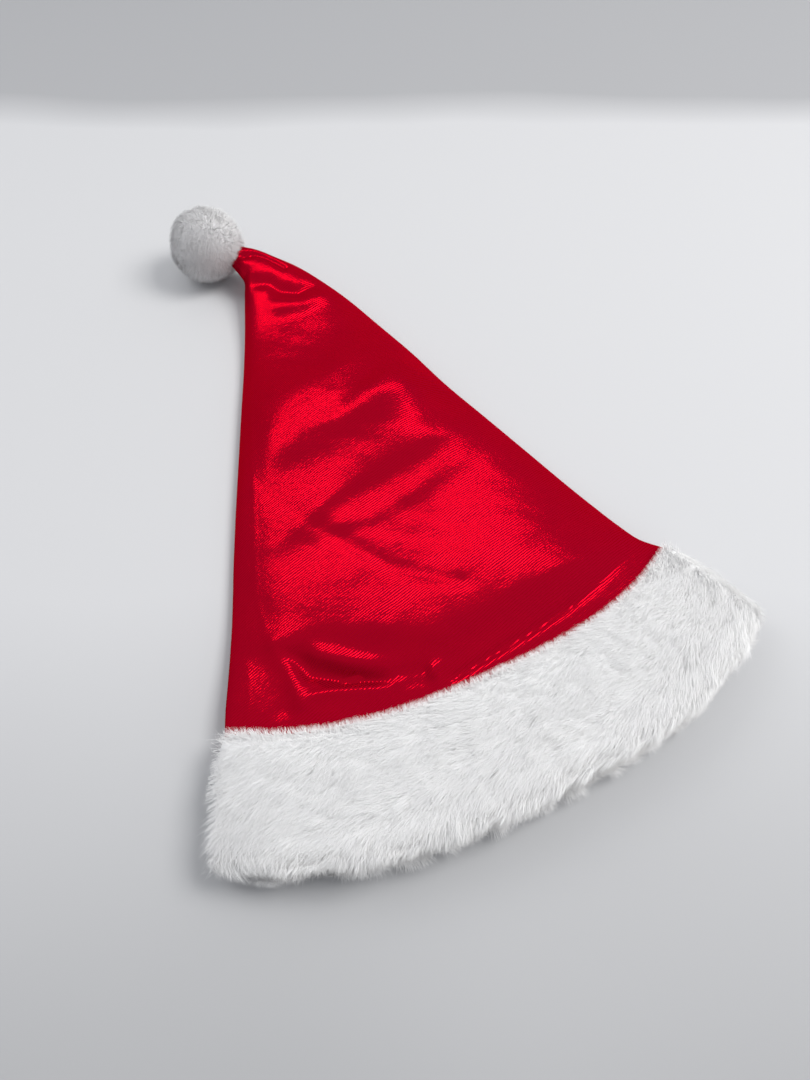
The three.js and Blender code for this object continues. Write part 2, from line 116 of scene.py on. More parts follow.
# Folds of the upper layer: the line of each one in millimetres from the seam point, how far it
# spreads towards the hem and towards the tip, and how far it rises
CROWN_FOLDS = {
    "first swell": (((-50, -146), (0, -143), (40, -134), (72, -128)), 34, 30, 3.1),
    "first brim": (((-66, -180), (-26, -172), (7, -173), (35, -168), (62, -160)), 17, 36, 2.9),
    "right slope": (((30, -172), (56, -160), (84, -146)), 40, 14, 5.5),
    "second brim": (((-70, -242), (-48, -234), (-16, -223), (20, -215), (88, -205)), 9, 20, 1.8),
    "diagonal brim": (((-46, -246), (-14, -250), (28, -241), (52, -234)), 7, 12, 0.8),
    "slanting valley": (((-64, -193), (-47, -238), (-35, -258), (-19, -286), (11, -314)),
                        5, 5, -0.7),
    "lower swell": (((-92, -290), (-59, -305), (-27, -324), (-9, -334), (32, -328), (71, -325),
                     (98, -322)), 14, 48, 5.0),
    "pocket crest": (((-101, -297.5), (-89, -302), (-76, -317), (-62.6, -331), (-50.7, -341),
                      (-40.6, -349), (-26, -354)), 4, 7, 4.0),
    "pocket floor": (((-82, -314), (-80, -327), (-66, -337), (-46, -347), (-30, -352)), 5, 6, -5.2),
    "pocket left end": (((-93, -303), (-91, -313), (-89.5, -324), (-90, -341)), 4, 4, 3),
    "pocket brim": (((-84, -339), (-69, -343), (-54, -348), (-44, -351)), 3.5, 3, 1.8),
    "corner valley": (((-103, -309), (-101, -338)), 6, 6, -2.4),
    "corner fold": (((-112, -300), (-107.5, -306), (-109, -317), (-113.4, -327), (-117, -336)),
                    3, 3, 1.8),
    "hem crease": (((106, -335), (92, -340), (70, -348), (38, -354), (6, -358), (-16, -361)),
                   2.4, 2.4, -1.5),
    "left seam ridge": (((-12, -35), (-28.5, -83), (-44.3, -127), (-57, -167), (-68.7, -204),
                         (-82, -244), (-90, -269), (-92, -290)), 1.9, 1.9, 0.75),
    "tip dent": (((-6, -34), (2, -38), (7, -48), (18, -54), (30, -52)), 6, 6, -2.2),
    "tip swell": (((2, -62), (18, -66), (36, -60)), 7, 10, 1.6),
    "tip fold": (((-5, -8), (3, -8), (9, -13), (14, -20), (18, -27)), 3.2, 3.2, -2.6),
    "tip turn": (((-12, -6), (-13, -13), (-10, -22)), 2.6, 2.6, -2.2),
}

# How softly a fold's one side turns into its other, how the folds fade at the sides, and the
# heights of the wide and the fine waves
FOLD_TURN = 0.15
FADE_POWER = 4
WIDE_WAVE = 0.4
FINE_WAVE = 0.11

# Mesh fineness: points across each layer, sections from tip to hem outside and inside, and how
# evenly the outside ones are spread
CROWN_OVER = 216
CROWN_UNDER = 76
CROWN_STATIONS = 230
CROWN_INNER_STATIONS = 56
CROWN_EVENNESS = 0.75


def read_table(columns, rows, at):
    """Each column of a table, on a smooth curve through its rows, at many places."""
    table = np.array(rows, float)
    place = table[:, 0]
    i = np.clip(np.searchsorted(place, at) - 1, 0, len(place) - 2)
    before = np.maximum(i - 1, 0)
    after = np.minimum(i + 2, len(place) - 1)
    span = (place[i + 1] - place[i])[:, None]
    u = np.clip((at - place[i])[:, None] / span, 0, 1)
    a, b = table[i], table[i + 1]
    leaving = (b - table[before]) / (place[i + 1] - place[before])[:, None] * span
    arriving = (table[after] - a) / (place[after] - place[i])[:, None] * span
    read = (
        (2 * u**3 - 3 * u**2 + 1) * a
        + (u**3 - 2 * u**2 + u) * leaving
        + (3 * u**2 - 2 * u**3) * b
        + (u**3 - u**2) * arriving
    )
    return dict(zip(columns, read.T))


def crown_sections(at):
    """Side folds and heights of the crown's sections at many places from tip to hem."""
    row = read_table(CROWN_COLUMNS, CROWN_SECTIONS, np.atleast_1d(at))
    left = np.stack([row["left_x"] * HEM_HALF_WIDTH, row["left_y"] * CROWN_LENGTH], 1)
    right = np.stack([row["right_x"] * HEM_HALF_WIDTH, row["right_y"] * CROWN_LENGTH], 1)
    chord = right - left
    width = np.linalg.norm(chord, axis=1)
    return {
        "left": left,
        "chord": chord,
        "width": width,
        "hemward": np.stack([chord[:, 1], -chord[:, 0]], 1) / width[:, None],
        "bow": row["bow"] * CROWN_LENGTH,
        "lift": row["lift"] * HEM_LIFT + row["tip"] * POMPOM_HEIGHT,
        "puff": row["puff"] * HEM_PUFF,
    }


def plan_points(section, across):
    """Points of the plan at shares across each section, -1 at the left fold and 1 at the right."""
    bow = section["bow"][:, None] * (1 - np.abs(across) ** BOW_POWER)
    along = section["chord"][:, None, :] * ((across + 1) / 2)[..., None]
    return section["left"][:, None, :] + along + section["hemward"][:, None, :] * bow[..., None]


def upper_height(section, across):
    """Height of the upper layer at shares across each section, without its folds."""
    swell = np.clip(1 - np.abs(across) ** UPPER_SQUARENESS, 0, 1) ** UPPER_ROUNDNESS
    share = FOLD_HEIGHT + (1 - FOLD_HEIGHT) * swell
    return section["lift"][:, None] + section["puff"][:, None] * share


def lower_height(section, across):
    """Height of the lower layer, which is level and curls up at the side folds."""
    curl = np.clip((np.abs(across) - LEVEL_SHARE) / (1 - LEVEL_SHARE), 0, 1)
    share = FOLD_HEIGHT * (1 - np.sqrt(1 - curl**2))
    return section["lift"][:, None] + section["puff"][:, None] * share


def off_line(point, line):
    """From the nearest place of a line of straight stretches to each point."""
    best = np.full(point.shape[:-1], np.inf)
    off = np.zeros(point.shape)
    for start, end in zip(np.array(line[:-1], float), np.array(line[1:], float)):
        stretch = end - start
        share = np.clip((point - start) @ stretch / (stretch @ stretch), 0, 1)
        here = point - start - share[..., None] * stretch
        distance = (here**2).sum(-1)
        nearer = distance < best
        best = np.where(nearer, distance, best)
        off = np.where(nearer[..., None], here, off)
    return off


def soft_waves(point):
    """Shallow unevenness of thin cloth, from crossing waves of unlike lengths."""
    x, y = point[..., 0], point[..., 1]
    wide = np.sin(x / 17 + 1.3 * np.sin(y / 31)) * np.sin(y / 12.5 + 1.1 * np.sin(x / 23 + 2))
    fine = np.sin(x / 6.1 + 2 * np.sin(y / 14 + 1)) * np.sin(y / 5.3 + 1.7 * np.sin(x / 12))
    return WIDE_WAVE * wide + FINE_WAVE * fine


def fold_rise(point, across):
    """How far the folds and waves raise the upper layer."""
    fade = (1 - np.abs(across) ** FADE_POWER) ** 2
    rise = soft_waves(point)
    for line, hem_side, tip_side, height in CROWN_FOLDS.values():
        off = off_line(point, line)
        hemward = 1 / (1 + np.exp(off[..., 1] / (FOLD_TURN * hem_side)))
        spread = hem_side * hemward + tip_side * (1 - hemward)
        rise = rise + height * np.exp(-(off**2).sum(-1) / spread**2)
    return rise * fade


def shares_across(count):
    """Shares from the right fold to the left one, closer together near both."""
    even = np.linspace(1, -1, count + 1)
    return 0.5 * even + 0.5 * np.sin(even * np.pi / 2)


def ring_points(over, under):
    """Closed rings from the points of the upper and the lower layer."""
    return np.concatenate([over, under[:, -2:0:-1]], 1)


def crown_outer(at):
    """Rings of the crown's outside at places from tip to hem."""
    section = crown_sections(at)
    rings = []
    for count, top in ((CROWN_OVER, True), (CROWN_UNDER, False)):
        across = np.broadcast_to(shares_across(count), (len(at), count + 1))
        plan = plan_points(section, across)
        if top:
            height = upper_height(section, across) + fold_rise(plan, across)
        else:
            height = lower_height(section, across)
        rings.append(np.concatenate([plan, np.maximum(height, 0)[..., None]], 2))
    return ring_points(*rings)


def crown_inner(at):
    """Rings of the crown's inside, one wall in from the outside."""
    section = crown_sections(at)
    inset = (1 - 2 * SEAM_ALLOWANCE / section["width"])[:, None]
    fold = (section["lift"] + section["puff"] * FOLD_HEIGHT)[:, None]
    rings = []
    for count, top in ((CROWN_OVER, True), (CROWN_UNDER, False)):
        share = shares_across(count)[None, :]
        across = share * inset
        plan = plan_points(section, across)
        if top:
            height = upper_height(section, across) + fold_rise(plan, across) - CROWN_WALL
        else:
            height = lower_height(section, across) + CROWN_WALL
        height = np.where(np.abs(share) > FOLD_EDGE, fold, height)
        rings.append(np.concatenate([plan, height[..., None]], 2))
    return ring_points(*rings)


def make_mesh(name, points, faces, finish):
    """A mesh object from points in millimetres round the seam point."""
    mesh = bpy.data.meshes.new(name)
    points = np.asarray(points, float).reshape(-1, 3)
    points = (points + SEAM_POINT) * MM
    faces = [np.asarray(group, np.int64) for group in faces if len(group)]
    mesh.vertices.add(len(points))
    mesh.vertices.foreach_set("co", points.ravel())
    corners = np.concatenate([group.ravel() for group in faces])
    sides = np.concatenate([np.full(len(group), group.shape[1]) for group in faces])
    mesh.loops.add(len(corners))
    mesh.loops.foreach_set("vertex_index", corners)
    mesh.polygons.add(len(sides))
    starts = np.concatenate([[0], np.cumsum(sides)[:-1]])
    mesh.polygons.foreach_set("loop_start", starts)
    mesh.polygons.foreach_set("use_smooth", np.full(len(sides), True))
    mesh.update(calc_edges=True)
    mesh.validate()
    piece = bpy.data.objects.new(name, mesh)
    bpy.context.scene.collection.objects.link(piece)
    mesh.materials.append(finish)
    return piece


def ring_faces(rings, around, joined):
    """Four-sided faces over rings of points."""
    i = np.arange(rings if joined else rings - 1)[:, None]
    j = np.arange(around)[None, :]
    near = i * around
    far = ((i + 1) % rings) * around
    k = (j + 1) % around
    return np.stack([near + j, near + k, far + k, far + j], 2).reshape(-1, 4)


def end_fan(ring, around, middle, last):
    """Three-sided faces from one ring to its middle point."""
    j = np.arange(around)
    k = (j + 1) % around
    here, following = ring * around + j, ring * around + k
    centre = np.full(around, middle)
    return np.stack([here, following, centre] if last else [following, here, centre], 1)


class Reading:
    """A value that changes over a surface, so that shader maths reads as plain Python."""

    def __init__(self, finish, socket):
        self.finish = finish
        self.socket = socket

    def math(self, operation, *others):
        inputs = dict(enumerate((self, *others)))
        return self.finish.node("ShaderNodeMath", {"operation": operation}, inputs)

    def __add__(self, other):
        return self.math("ADD", other)

    def __mul__(self, other):
        return self.math("MULTIPLY", other)

    def __sub__(self, other):
        return self.math("SUBTRACT", other)

    def clamped(self):
        return self.math("MAXIMUM", 0).math("MINIMUM", 1)

    def wave(self):
        return self.math("SINE")


class Finish:
    """A material whose nodes are all made by one method."""

    def __init__(self, name):
        self.material = bpy.data.materials.new(name)
        self.material.use_nodes = True
        self.tree = self.material.node_tree
        self.tree.nodes.clear()

    @classmethod
    def of_tree(cls, tree):
        """The same for the node tree of something else, such as the room's light."""
        made = cls.__new__(cls)
        made.tree = tree
        tree.nodes.clear()
        return made

    def node(self, kind, settings=None, inputs=None, output=0):
        """A node's output, from its settings and the values or links of its sockets."""
        made = self.tree.nodes.new(kind)
        for setting, value in (settings or {}).items():
            if setting == "stops":
                ramp = made.color_ramp.elements
                while len(ramp) < len(value):
                    ramp.new(0.5)
                for stop, (place, colour) in zip(ramp, value):
                    stop.position = place
                    stop.color = (*colour, 1)
            else:
                setattr(made, setting, value)
        for socket, value in (inputs or {}).items():
            if isinstance(value, Reading):
                self.tree.links.new(value.socket, made.inputs[socket])
            else:
                made.inputs[socket].default_value = value
        return Reading(self, made.outputs[output]) if len(made.outputs) else made

    def place(self, turn=0.0, stretch=(1, 1, 1)):
        """The place on the piece in millimetres, turned about the vertical and stretched."""
        where = self.node("ShaderNodeTexCoord", output="Object")
        turned = self.node(
            "ShaderNodeVectorRotate", {"rotation_type": "Z_AXIS"}, {"Vector": where, "Angle": turn}
        )
        scale = tuple(part / MM for part in stretch)
        return self.node(
            "ShaderNodeVectorMath", {"operation": "MULTIPLY"}, {0: turned, 1: scale}
        )

    def part(self, vector, axis):
        return self.node("ShaderNodeSeparateXYZ", {}, {0: vector}, output=axis)

    def noise(self, place, scale, detail, roughness=0.5):
        inputs = {"Vector": place, "Scale": scale, "Detail": detail, "Roughness": roughness}
        return self.node("ShaderNodeTexNoise", {}, inputs, output="Fac")

    def ramp(self, value, stops):
        return self.node("ShaderNodeValToRGB", {"stops": stops}, {0: value})

    def blend(self, factor, first, second):
        inputs = {"Factor": factor, 6: first, 7: second}
        settings = {"data_type": "RGBA"}
        return self.node("ShaderNodeMix", settings, inputs, output=2)

    def bump(self, height, distance, strength):
        inputs = {"Height": height, "Distance": distance * MM, "Strength": strength}
        return self.node("ShaderNodeBump", {}, inputs)

    def show(self, inputs):
        shader = self.node("ShaderNodeBsdfPrincipled", {}, inputs)
        self.node("ShaderNodeOutputMaterial", {}, {"Surface": shader})
        return self.material


# The crown's cloth: its ribs' pitch in millimetres and their turn, and its two reds
RIB_PITCH = 1.42
RIB_TURN = math.radians(-16)
RED_GROUND = (0.27, 0.0004, 0.014, 1)
RED_METAL = (0.56, 0.0024, 0.014, 1)


def shiny_red_cloth():
    """Thin cloth with fine diagonal metal ribs and a grain that sparkles where it is lit."""
    finish = Finish("shiny_red_cloth")
    place = finish.place()
    drift = finish.noise(place, 0.045, 1)
    across = finish.part(finish.place(RIB_TURN), "Y") + drift * 3
    ribs = (across * (2 * math.pi / RIB_PITCH)).wave()
    grain = finish.noise(finish.place(RIB_TURN, (0.45, 1, 1)), 1.7, 2, 0.6)
    weave = finish.noise(place, 0.5, 2)
    crumple = finish.noise(place, 0.11, 3)
    patch = finish.noise(place, 0.03, 2)
    height = ribs * 0.16 + grain * 0.14 + weave * 0.8 + crumple * 2
    metal = (ribs * 1.5 + grain * 1.9 - 1.1).clamped()
    shade = (metal * 0.85 + patch * 0.2).clamped()
    return finish.show({
        "Base Color": finish.blend(shade, RED_GROUND, RED_METAL),
        "Metallic": metal,
        "Roughness": grain * 0.08 + 0.12,
        "Specular IOR Level": 0.0,
        "Specular Tint": (1, 0.02, 0.04, 1),
        "Normal": finish.bump(height, 0.16, 0.7),
    })


def white_plush(name, colour, shadow):
    """Dense white pile, brushed one way."""
    finish = Finish(name)
    hair = finish.noise(finish.place(stretch=(0.22, 1, 1)), 0.9, 3, 0.6)
    tuft = finish.noise(finish.place(stretch=(0.5, 1, 1)), 0.11, 2)
    shade = (hair * 0.6 + tuft * 0.7 - 0.2).clamped()
    return finish.show({
        "Base Color": finish.blend(shade, (*shadow, 1), (*colour, 1)),
        "Roughness": 0.95,
        "Sheen Weight": 0.35,
        "Sheen Roughness": 0.6,
        "Specular IOR Level": 0.15,
        "Normal": finish.bump(hair + tuft * 0.8, 0.35, 0.6),
    })


def plush_strands(name, colour, shadow):
    """Single fibres of the pile, a little uneven in colour."""
    finish = Finish(name)
    shade = finish.noise(finish.place(), 0.16, 2)
    return finish.show({
        "Base Color": finish.blend(shade, (*shadow, 1), (*colour, 1)),
        "Roughness": 0.9,
        "Sheen Weight": 0.3,
        "Sheen Roughness": 0.5,
        "Specular IOR Level": 0.2,
    })


# The surface: the level direction away from the viewer, how far along it or against it the painted
# shade begins in millimetres, how fast it darkens, the tone round the hat, and the painted shade
# near and behind
AWAY = (0.4257, 0.9048)
BEHIND_FROM = 408
BEHIND_RATE = 0.02
NEAR_FROM = 150
NEAR_RATE = 0.003
SURFACE_TONE = (0.64, 0.645, 0.66, 1)
# Painted shade: the greys near and behind the hat
NEAR_PAINTED_SHADE = (0.36, 0.365, 0.375, 1)
BEHIND_PAINTED_SHADE = (0.42, 0.425, 0.44, 1)


def pale_surface():
    """A pale surface with painted shade that turns it greyer behind the hat and on this side of it.
    """
    finish = Finish("pale_surface")
    place = finish.place()
    away = finish.part(place, "X") * AWAY[0] + finish.part(place, "Y") * AWAY[1]
    haze = finish.noise(place, 0.004, 1)
    # Painted shade: greyer far behind the hat and towards the viewer, with a wavering edge
    behind_painted_shade = ((away + haze * 60 - BEHIND_FROM) * BEHIND_RATE).clamped()
    near = ((away * -1 + haze * 120 - NEAR_FROM) * NEAR_RATE).clamped()
    tone_with_near_shade = finish.blend(near, SURFACE_TONE, NEAR_PAINTED_SHADE)
    return finish.show({
        "Base Color": finish.blend(behind_painted_shade, tone_with_near_shade, BEHIND_PAINTED_SHADE),
        "Roughness": 0.7,
        "Specular IOR Level": 0.2,
    })


def make_crown():
    """The crown: one closed skin over its outside and its inside."""
    even = np.linspace(0, 1, CROWN_STATIONS)
    eased = 0.5 - 0.5 * np.cos(np.pi * even)
    outer_at = CROWN_EVENNESS * even + (1 - CROWN_EVENNESS) * eased
    inner_at = np.linspace(HOLLOW_FROM, 1, CROWN_INNER_STATIONS)
    rings = np.concatenate([crown_outer(outer_at), crown_inner(inner_at)[::-1]])
    count, around = rings.shape[:2]
    ends = [rings[0].mean(0), rings[-1].mean(0)]
    points = np.concatenate([rings.reshape(-1, 3), ends])
    faces = [
        ring_faces(count, around, False),
        end_fan(0, around, count * around, False),
        end_fan(count - 1, around, count * around + 1, True),
    ]
    return make_mesh("crown_cloth", points, faces, shiny_red_cloth())


# Sections of the band's dense pile from the hem to the mouth: share of the width, and the
# height above the backing as a share of the pile's
BAND_COLUMNS = ("through", "pile")
BAND_SECTIONS = (
    (0.0, 0.3), (0.06, 0.55), (0.25, 0.7), (0.5, 0.72), (0.75, 0.7), (0.93, 0.58), (1.0, 0.25),
)

# The band: points round it and across it, how far its lumps rise as a share of the pile, where the
# backing's inner edge begins, and the step for finding which way the backing faces
BAND_AROUND = 360
BAND_RINGS = 44
BAND_LUMP = 0.16
BACKING_EASE = 0.015
TURN_STEP = 1e-3


def backing_point(turn, outwards):
    """The backing's outer face: turn goes round from the right fold over the top."""
    turn = np.asarray(turn, float) % 1
    over = turn < 0.5
    even = np.where(over, 1 - 4 * turn, 4 * turn - 3)
    across = 0.45 * even + 0.55 * np.sin(even * np.pi / 2)
    hem = crown_sections(1.0)
    backing = {**hem, "lift": np.array([BACKING_LIFT]), "puff": np.array([BACKING_PUFF])}
    inset = 1 - 2 * BACKING_INSET / hem["width"][0]
    flat = across.reshape(1, -1)
    plan = plan_points(hem, flat * inset)[0]
    plan = plan * (1 + outwards.reshape(-1, 1) / np.linalg.norm(plan, axis=1)[:, None])
    height = np.where(
        over.reshape(-1), upper_height(backing, flat)[0], lower_height(backing, flat)[0]
    )
    return np.concatenate([plan, height[:, None]], 1).reshape(*turn.shape, 3)


def band_point(turn, through, pile, sunk=0.0):
    """A point on or off the backing: pile is a share of the pile's height there."""
    turn, through, pile, sunk = np.broadcast_arrays(*map(np.asarray, (turn, through, pile, sunk)))
    hem_edge = np.full(turn.shape, float(SEAM_GAP))
    mouth_edge = np.full(turn.shape, float(BAND_WIDTH - PILE_MOUTH))
    start = backing_point(turn, hem_edge)
    run = backing_point(turn, mouth_edge) - start
    tangent = backing_point(turn + TURN_STEP, hem_edge) - backing_point(turn - TURN_STEP, hem_edge)
    out = np.cross(tangent, run)
    out /= np.linalg.norm(out, axis=-1, keepdims=True)
    level = out[..., 2] ** 2
    flat_pile = np.where(out[..., 2] > 0, PILE_TOP, PILE_UNDER)
    side_pile = np.where(out[..., 0] < 0, PILE_LEFT, PILE_RIGHT)
    height = pile * (level * flat_pile + (1 - level) * side_pile) - sunk
    point = start + run * through[..., None] + out * height[..., None]
    point[..., 2] = np.maximum(point[..., 2], LEAST_HEIGHT)
    return point


# The length round the backing up to each turn, near the middle of its width in millimetres, for
# placing strands evenly
HALF_WAY = 28.0
turns = np.linspace(0, 1, 721)
girth_points = backing_point(turns, np.full(turns.shape, HALF_WAY))
girth_at = np.concatenate([[0], np.cumsum(np.linalg.norm(np.diff(girth_points, axis=0), axis=1))])
GIRTH = girth_at[-1]
BAND_RUN = BAND_WIDTH - SEAM_GAP - PILE_MOUTH


def turn_at(round_it):
    """The turn at a length round the band."""
    return np.interp(np.asarray(round_it) % GIRTH, girth_at, turns)


def clump_noise(u, v, size, seed):
    """Nearest clump of a jittered grid: offsets to its middle, and a number of its own."""
    cell_u, cell_v = np.floor(u / size), np.floor(v / size)
    best = np.full(u.shape, np.inf)
    du, dv, own = np.zeros(u.shape), np.zeros(u.shape), np.zeros(u.shape)
    for i in (-1, 0, 1):
        for j in (-1, 0, 1):
            cu, cv = cell_u + i, cell_v + j
            wild = np.sin(cu * 12.9898 + cv * 78.233 + seed) * 43758.5453
            a = wild - np.floor(wild)
            wild = np.sin(cu * 39.346 + cv * 11.135 + seed * 1.7) * 24634.6345
            b = wild - np.floor(wild)
            mu, mv = (cu + 0.15 + 0.7 * a) * size - u, (cv + 0.15 + 0.7 * b) * size - v
            distance = mu**2 + mv**2
            nearer = distance < best
            best = np.where(nearer, distance, best)
            du, dv = np.where(nearer, mu, du), np.where(nearer, mv, dv)
            own = np.where(nearer, (a * 7.3 + b * 3.1) % 1, own)
    return du, dv, own


def band_nap(round_it, through):
    """Which way the band's pile lies: its angle from running round to running outwards."""
    share = (round_it % GIRTH) / GIRTH
    to_left = np.clip(share * 2, 0, 1)
    fan = 0.1 + 0.75 * np.clip((to_left - 0.45) / 0.55, 0, 1) ** 1.3
    at_mouth = np.clip((through - 0.72) / 0.28, 0, 1)
    wander = 0.22 * np.sin(round_it / 19 + 2 * np.sin(through * 5)) + 0.12 * np.sin(round_it / 7)
    return fan + 0.75 * at_mouth + wander


def band_lumps(round_it, out):
    """Unevenness of the dense pile, from about -0.75 to 0.65."""
    du, dv, own = clump_noise(round_it * 0.55, out, 9.0, 3.0)
    near = np.exp(-(du**2 + dv**2) / 22)
    return 0.9 * near - 0.5 + 0.5 * (own - 0.5)


def make_band():
    """The band's dense pile and its backing, as one closed ring."""
    round_it = np.arange(BAND_AROUND) * GIRTH / BAND_AROUND
    turn = turn_at(round_it)
    through = 0.5 - 0.5 * np.cos(np.pi * np.linspace(0, 1, BAND_RINGS)) * 0.999
    pile = read_table(BAND_COLUMNS, BAND_SECTIONS, through)["pile"]
    lumps = band_lumps(round_it[None, :], through[:, None] * BAND_RUN)
    edge = 0.45 * np.clip(np.minimum(through, 1 - through) * 9, 0, 1)[:, None]
    outer = band_point(turn[None, :], through[:, None], pile[:, None] + BAND_LUMP * lumps * edge)
    inner = band_point(turn[None, :], np.array([[1.0], [BACKING_EASE]]), 0.0, BACKING_WALL)
    rings = np.concatenate([outer, inner])
    faces = [ring_faces(len(rings), BAND_AROUND, True)]
    finish = white_plush("band_plush", (0.98, 0.98, 0.98), (0.95, 0.95, 0.955))
    return make_mesh("band_pile", rings, faces, finish)


# How unevenly the strands are shaded, and a strand's width at its middle as a share of its root's
STRAND_SCATTER = 0.16
STRAND_TAPER = 0.9


def strand_mesh(name, roots, middles, tips, side, width, outwards, finish):
    """Flat strands of two faces each, shaded as the soft surface that they lie on."""
    side = side / np.linalg.norm(side, axis=1, keepdims=True)
    half = (width / 2)[:, None] * side
    thin = half * STRAND_TAPER
    points = np.stack([roots - half, roots + half, middles - thin, middles + thin, tips], 1)
    base = np.arange(len(roots))[:, None] * 5
    quads = base + np.array([[0, 1, 3, 2]])
    ends = base + np.array([[2, 3, 4]])
    made = make_mesh(name, points, [quads, ends], finish)
    wild = np.random.default_rng(len(roots)).standard_normal(outwards.shape)
    facing = outwards / np.linalg.norm(outwards, axis=1, keepdims=True) + STRAND_SCATTER * wild
    facing /= np.linalg.norm(facing, axis=1, keepdims=True)
    made.data.normals_split_custom_set_from_vertices(np.repeat(facing, 5, axis=0).tolist())
    return made


# Strands of the band, in millimetres: the usual length and a clump's addition to it, the length at
# the hem and how near the hem that is, and the sizes of clumps and of tufts at the mouth
STRAND_LENGTH = 11
CLUMP_LENGTH = 3
HEM_STRAND_LENGTH = 5.0
HEM_REACH = 3.5
CLUMP_SIZE = 5.5
TUFT_SIZE = 7.0

# Shares for the same strands: how much a clump draws tips and middles to its own middle, how far up
# a strand its middle is, which part of all strands is placed near the mouth, how far tips may pass
# the mouth for the band's width, and how far strands lie off the dense pile for the pile's height
TIP_PULL = 0.22
MIDDLE_PULL = 0.2
MIDDLE_AT = 0.45
MOUTH_STRANDS = 0.18
MOST_PAST_MOUTH = 0.24
OFF_THE_PILE = 0.1


def band_strands(name, count, first, last, seed, finish):
    """Strands from one share of the girth to another, drawn together into small clumps."""
    random = np.random.default_rng(seed)
    round_it = (first + (last - first) * random.random(count)) * GIRTH
    through = random.random(count) * 1.03 - 0.01
    near_mouth = random.random(count) < MOUTH_STRANDS
    through = np.where(near_mouth, random.uniform(0.84, 1.03, count), through)
    out = through * BAND_RUN
    du, dv, own = clump_noise(round_it, out, CLUMP_SIZE, 11.0)
    angle = band_nap(round_it, through) + 0.34 * (own - 0.5) + 0.18 * random.standard_normal(count)
    length = (0.75 + 0.5 * random.random(count)) * (STRAND_LENGTH + CLUMP_LENGTH * own)
    at_hem = random.random(count) < np.exp(-out / HEM_REACH)
    angle = np.where(at_hem, random.uniform(-2.2, 0.9, count), angle)
    length = np.where(at_hem, HEM_STRAND_LENGTH, length)
    run_round, run_out = length * np.cos(angle), length * np.sin(angle)
    tip_round = round_it + run_round + TIP_PULL * du
    tip_out = out + run_out + TIP_PULL * dv
    mid_round = round_it + MIDDLE_AT * run_round + MIDDLE_PULL * du
    mid_out = out + MIDDLE_AT * run_out + MIDDLE_PULL * dv
    pile = read_table(BAND_COLUMNS, BAND_SECTIONS, np.clip(through, 0, 1))["pile"]
    surface = pile + BAND_LUMP * 0.6 * band_lumps(round_it, out)
    low = surface - 0.22
    mid = surface + OFF_THE_PILE + 0.12 * random.random(count)
    high = surface + OFF_THE_PILE + 0.26 * random.random(count) + 0.12 * own
    tuft = clump_noise(round_it, 0 * out, TUFT_SIZE, 5.0)[2]
    over = np.clip(tip_out / BAND_RUN - 1, 0, MOST_PAST_MOUTH)
    free = np.clip(tip_out / BAND_RUN, -0.06, 1) + over * (0.52 + 0.4 * tuft)
    roots = band_point(turn_at(round_it), np.clip(through, 0.01, 1), low)
    middles = band_point(turn_at(mid_round), np.clip(mid_out / BAND_RUN, 0.0, 1.1), mid)
    past = np.clip((tip_out / BAND_RUN - 0.9) / 0.22, 0, 1) ** 1.5 * random.random(count)
    fold_at = np.abs((round_it / GIRTH * 2) % 1 - 0.5) * 2
    high = high + 0.4 * np.exp(-(((1 - fold_at) / 0.04) ** 2)) * random.random(count) * own
    tips = band_point(turn_at(tip_round), free, high - 1.5 * past)
    outwards = band_point(turn_at(round_it), through, low + 1) - roots
    side = np.cross(tips - roots, outwards) + 0.3 * random.standard_normal((count, 3))
    width = 0.16 + 0.1 * random.random(count)
    return strand_mesh(name, roots, middles, tips, side, width, outwards, finish)


# The pompom, as shares of its radius: how far its lumps rise, how it is flattened, how far its
# dense pile reaches and how far its strands' middles and tips lie over
POMPOM_LUMP = 0.028
POMPOM_SHAPE = (0.985, 1.0, 0.97)
DENSE_SHARE = 0.9
MIDDLE_LEAN = 0.07
TIP_LEAN = 0.17

# Points round the pompom, and rings from below to above
POMPOM_AROUND = 150
POMPOM_RINGS = 76


def pompom_centre():
    """The pompom's middle, placed so that the crown's tip sinks into the pompom."""
    end = crown_sections(0.0)
    seat = (end["left"] + end["chord"] / 2 + end["hemward"] * (TIP_SINK - POMPOM_DIAMETER / 2))[0]
    return np.array([seat[0], seat[1], POMPOM_HEIGHT])


def pompom_lump(way):
    """Unevenness of the pompom's pile in each direction, from its middle."""
    x, y, z = way[..., 0], way[..., 1], way[..., 2]
    return (
        np.sin(4.1 * x + 2.2 * np.sin(3 * y + 1)) * np.sin(3.7 * y + 1.9 * np.sin(3.3 * z))
        + 0.5 * np.sin(8 * z + 2 * np.sin(6 * x)) * np.sin(7 * x + 3 * y)
    )


def pompom_surface(way, share):
    """A point of the pompom in a direction, at a share of its radius."""
    radius = POMPOM_DIAMETER / 2 * share * (1 + POMPOM_LUMP * pompom_lump(way))
    point = pompom_centre() + way * radius[..., None] * np.array(POMPOM_SHAPE)
    point[..., 2] = np.maximum(point[..., 2], LEAST_HEIGHT)
    return point


def make_pompom():
    """The pompom's dense pile, as a closed ball."""
    around, rings = POMPOM_AROUND, POMPOM_RINGS
    height = -np.cos(np.pi * np.linspace(0.004, 0.996, rings))
    turn = 2 * np.pi * np.arange(around) / around
    level = np.sqrt(1 - height**2)
    way = np.stack([
        level[:, None] * np.cos(turn), level[:, None] * np.sin(turn),
        height[:, None] + 0 * turn,
    ], 2)
    points = pompom_surface(way, np.full(way.shape[:2], DENSE_SHARE))
    ends = [points[0].mean(0), points[-1].mean(0)]
    faces = [
        ring_faces(rings, around, False),
        end_fan(0, around, rings * around, False),
        end_fan(rings - 1, around, rings * around + 1, True),
    ]
    everything = np.concatenate([points.reshape(-1, 3), ends])
    finish = white_plush("pompom_plush", (0.98, 0.975, 0.98), (0.93, 0.925, 0.935))
    return make_mesh("pompom_pile", everything, faces, finish)


